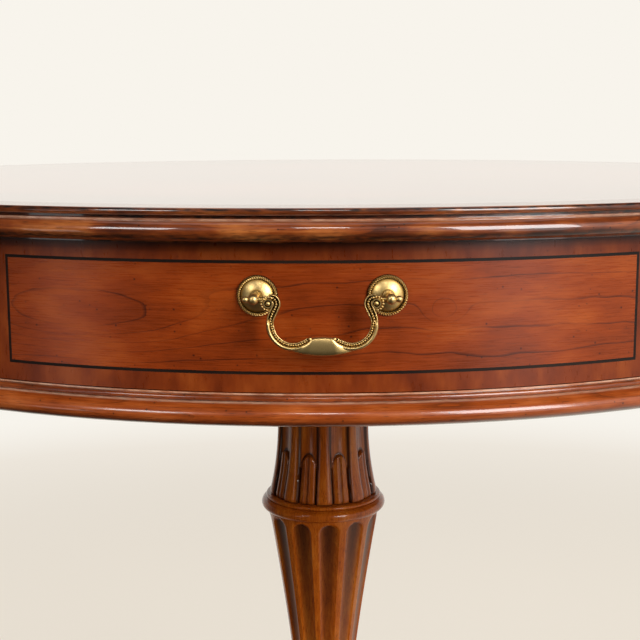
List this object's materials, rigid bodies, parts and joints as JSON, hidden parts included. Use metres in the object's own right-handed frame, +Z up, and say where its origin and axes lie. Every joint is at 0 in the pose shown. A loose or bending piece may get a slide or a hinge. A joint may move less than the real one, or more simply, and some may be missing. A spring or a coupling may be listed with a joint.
{
  "type": "drum desk",
  "caption": "Round pedestal drum desk with bow-fronted drawers, false fronts between them, swinging bail pulls, a carved column and swept legs.",
  "frame": {"origin": "floor, under the middle of the column", "axes": "+Z up, -Y towards the first working drawer, +X to its right as seen from the front"},
  "size_m": [0.965, 0.965, 0.777],
  "materials": {
    "mahogany_top_veneer": "high polish",
    "mahogany_face_veneer": "polished",
    "mahogany_crossband": "polished",
    "ebony_stringing": "polished",
    "mahogany_moulding": "worn polish",
    "mahogany_carved": "worn polish",
    "case_core_wood": "planed",
    "drawer_box_wood": "sealed",
    "antique_brass": "aged and waxed",
    "zinc_steel": "zinc plated",
    "nylon": "matte"
  },
  "bodies": {
    "desk": {"top_core": "case_core_wood", "top_field_veneer": "mahogany_top_veneer", "top_stringing": "ebony_stringing", "top_crossbanding": "mahogany_crossband", "top_edge_moulding": "mahogany_moulding", "drum_bottom_board": "case_core_wood", "lower_moulding": "mahogany_moulding", "drum_stiles": "mahogany_crossband", "bay_partitions": "case_core_wood", "drawer_guides": "drawer_box_wood", "drawer_stops": "drawer_box_wood", "false_front_face_veneer": "mahogany_face_veneer", "false_front_crossbanding": "mahogany_crossband", "false_front_stringing": "ebony_stringing", "false_front_rosettes": "antique_brass", "false_front_posts": "antique_brass", "false_front_boards": "case_core_wood", "head_plate": "case_core_wood", "pedestal_shaft": "mahogany_carved", "pedestal_vase": "mahogany_carved", "pedestal_hub": "mahogany_carved", "tie_rod": "zinc_steel", "legs": "mahogany_carved", "toe_caps": "antique_brass", "foot_glides": "nylon", "wood_screws": "zinc_steel"},
    "drawer_1": {"drawer_1_face_veneer": "mahogany_face_veneer", "drawer_1_crossbanding": "mahogany_crossband", "drawer_1_stringing": "ebony_stringing", "drawer_1_rosettes": "antique_brass", "drawer_1_posts": "antique_brass", "drawer_1_front": "case_core_wood", "drawer_1_sides": "drawer_box_wood", "drawer_1_back": "drawer_box_wood", "drawer_1_bottom": "drawer_box_wood"},
    "drawer_1_handle": {"drawer_1_bail": "antique_brass"},
    "drawer_2": {"drawer_2_face_veneer": "mahogany_face_veneer", "drawer_2_crossbanding": "mahogany_crossband", "drawer_2_stringing": "ebony_stringing", "drawer_2_rosettes": "antique_brass", "drawer_2_posts": "antique_brass", "drawer_2_front": "case_core_wood", "drawer_2_sides": "drawer_box_wood", "drawer_2_back": "drawer_box_wood", "drawer_2_bottom": "drawer_box_wood"},
    "drawer_2_handle": {"drawer_2_bail": "antique_brass"},
    "drawer_3": {"drawer_3_face_veneer": "mahogany_face_veneer", "drawer_3_crossbanding": "mahogany_crossband", "drawer_3_stringing": "ebony_stringing", "drawer_3_rosettes": "antique_brass", "drawer_3_posts": "antique_brass", "drawer_3_front": "case_core_wood", "drawer_3_sides": "drawer_box_wood", "drawer_3_back": "drawer_box_wood", "drawer_3_bottom": "drawer_box_wood"},
    "drawer_3_handle": {"drawer_3_bail": "antique_brass"},
    "false_front_1_handle": {"false_front_bail_1": "antique_brass"},
    "false_front_2_handle": {"false_front_bail_2": "antique_brass"},
    "false_front_3_handle": {"false_front_bail_3": "antique_brass"}
  },
  "joints": [
    {"name": "drawer_1_slide", "type": "slide", "parent": "desk", "child": "drawer_1", "axis": [0, -1, 0], "range_m": [0, 0.24]},
    {"name": "drawer_1_bail_swing", "type": "hinge", "parent": "drawer_1", "child": "drawer_1_handle", "pos_m": [0, -0.47636, 0.725], "axis": [-1, 0, 0], "range_deg": [-20, 120]},
    {"name": "drawer_2_slide", "type": "slide", "parent": "desk", "child": "drawer_2", "axis": [0.866, 0.5, 0], "range_m": [0, 0.24]},
    {"name": "drawer_2_bail_swing", "type": "hinge", "parent": "drawer_2", "child": "drawer_2_handle", "pos_m": [0.41254, 0.23818, 0.725], "axis": [0.5, -0.866, 0], "range_deg": [-20, 120]},
    {"name": "drawer_3_slide", "type": "slide", "parent": "desk", "child": "drawer_3", "axis": [-0.866, 0.5, 0], "range_m": [0, 0.24]},
    {"name": "drawer_3_bail_swing", "type": "hinge", "parent": "drawer_3", "child": "drawer_3_handle", "pos_m": [-0.41254, 0.23818, 0.725], "axis": [0.5, 0.866, 0], "range_deg": [-20, 120]},
    {"name": "false_front_1_bail_swing", "type": "hinge", "parent": "desk", "child": "false_front_1_handle", "pos_m": [0.41254, -0.23818, 0.725], "axis": [-0.5, -0.866, 0], "range_deg": [-20, 120]},
    {"name": "false_front_2_bail_swing", "type": "hinge", "parent": "desk", "child": "false_front_2_handle", "pos_m": [0, 0.47636, 0.725], "axis": [1, 0, 0], "range_deg": [-20, 120]},
    {"name": "false_front_3_bail_swing", "type": "hinge", "parent": "desk", "child": "false_front_3_handle", "pos_m": [-0.41254, -0.23818, 0.725], "axis": [-0.5, 0.866, 0], "range_deg": [-20, 120]}
  ]
}
